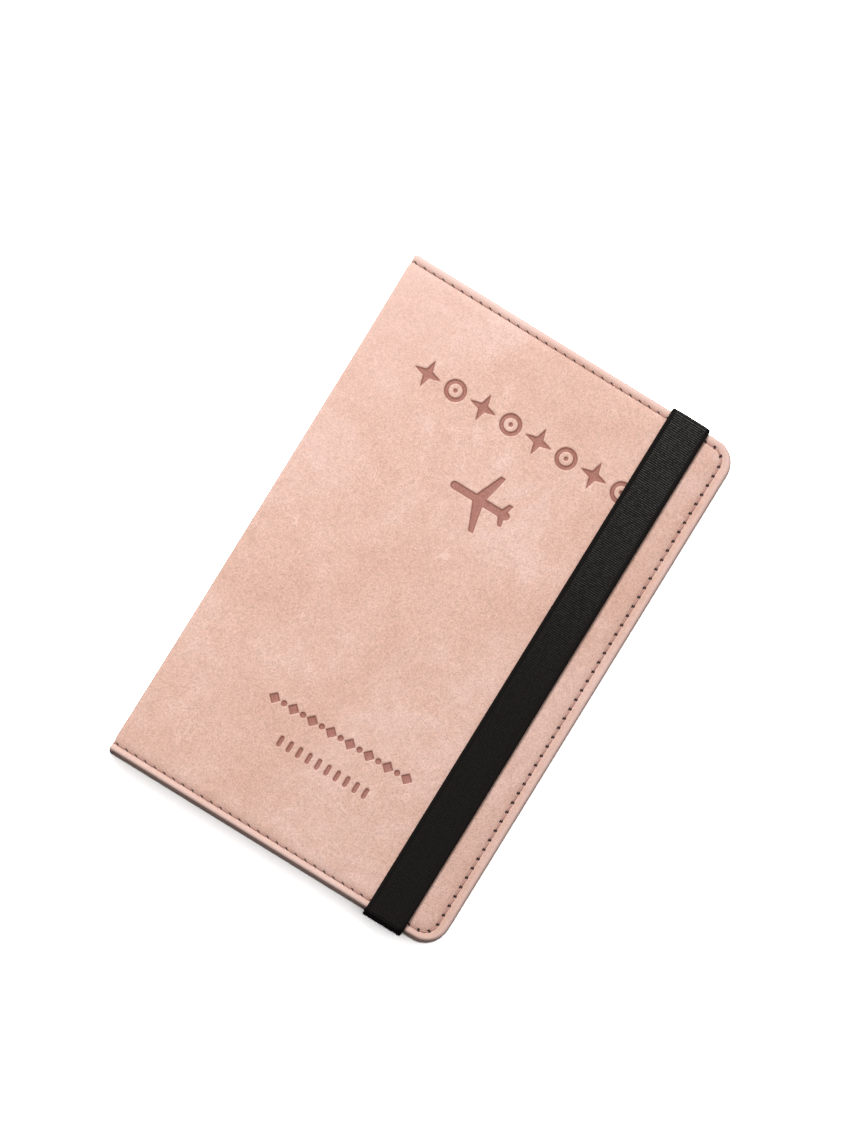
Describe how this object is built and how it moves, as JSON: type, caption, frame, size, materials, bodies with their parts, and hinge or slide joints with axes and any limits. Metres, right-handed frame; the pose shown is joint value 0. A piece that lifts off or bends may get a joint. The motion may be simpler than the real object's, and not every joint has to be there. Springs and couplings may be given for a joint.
{
  "type": "passport holder",
  "caption": "Padded leather passport holder that opens like a book, with a debossed front, stitched edges, inner pockets and an elastic band that holds it closed.",
  "frame": {"origin": "centre of the closed holder's bounding box, at the level of the back cover's outer face", "axes": "+X from the spine to the opening edge, +Y from the bottom to the top of the cover, +Z from the back cover to the front cover"},
  "size_m": [0.0954, 0.1484, 0.0117],
  "materials": {
    "outer_leather": "matt, softly mottled dusty pink",
    "pocket_leather": "matt",
    "stiffener": "closed-cell foam board",
    "shielding_film": "metallised film",
    "lining": "fine woven lining",
    "thread": "twisted sewing thread",
    "elastic": "ribbed woven elastic"
  },
  "bodies": {
    "back_cover": {"back_cover_leather": "outer_leather", "back_stiffener_board": "stiffener", "back_rfid_film": "shielding_film", "back_lining": "lining", "back_cover_stitching": "thread", "elastic_tab_top": "elastic", "elastic_tab_bottom": "elastic", "boarding_pass_pocket": "pocket_leather", "passport_sleeve": "pocket_leather"},
    "spine": {"spine_leather": "outer_leather", "spine_lining": "lining"},
    "front_cover": {"front_cover_leather": "outer_leather", "front_stiffener_board": "stiffener", "front_rfid_film": "shielding_film", "front_lining": "lining", "front_cover_stitching": "thread", "card_slot_1": "pocket_leather", "card_slot_2": "pocket_leather", "card_slot_3": "pocket_leather"},
    "elastic_band": {"elastic_front_run": "elastic", "elastic_leg_top": "elastic", "elastic_leg_bottom": "elastic"}
  },
  "joints": [
    {"name": "back_fold", "type": "hinge", "parent": "back_cover", "child": "spine", "pos_m": [-0.04727, 0, 0.00047], "axis": [0, -1, 0], "range_deg": [0, 90]},
    {"name": "front_fold", "type": "hinge", "parent": "spine", "child": "front_cover", "pos_m": [-0.04727, 0, 0.01022], "axis": [0, -1, 0], "range_deg": [0, 90]},
    {"name": "band_pull", "type": "slide", "parent": "back_cover", "child": "elastic_band", "axis": [1, 0, 0], "range_m": [0, 0.024], "stiffness_N_per_m": 60, "deforming": ["elastic_front_run", "elastic_leg_top", "elastic_leg_bottom"]}
  ]
}
